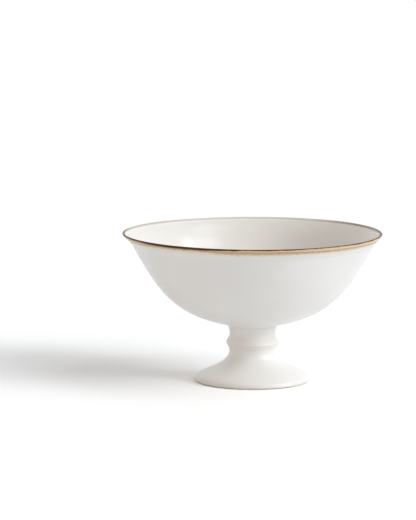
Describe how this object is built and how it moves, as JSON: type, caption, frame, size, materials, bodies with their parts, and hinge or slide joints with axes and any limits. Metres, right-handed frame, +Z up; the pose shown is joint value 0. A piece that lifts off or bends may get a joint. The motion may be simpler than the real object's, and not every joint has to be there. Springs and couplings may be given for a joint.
{
  "type": "dessert cup",
  "caption": "Footed stoneware dessert cup: a wide white bowl with an iron-brown, turned-out lip on a short beaded stem and a flared hollow foot.",
  "frame": {"origin": "on the axis of turning, on the surface that the cup stands on", "axes": "+Z up along the axis of turning, out of the bowl's mouth; X and Y are level and alike, because the cup is round"},
  "size_m": [0.14, 0.14, 0.0804],
  "materials": {
    "white_glaze": "warm white satin glaze on stoneware",
    "iron_glaze": "iron-brown glaze that breaks to tan",
    "fired_slip": "fired slip under the glaze"
  },
  "bodies": {
    "root": {"bowl": "white_glaze", "rim_band": "iron_glaze", "bowl_slip_joint": "fired_slip", "stem": "white_glaze", "foot_slip_joint": "fired_slip", "foot": "white_glaze"}
  },
  "joints": []
}
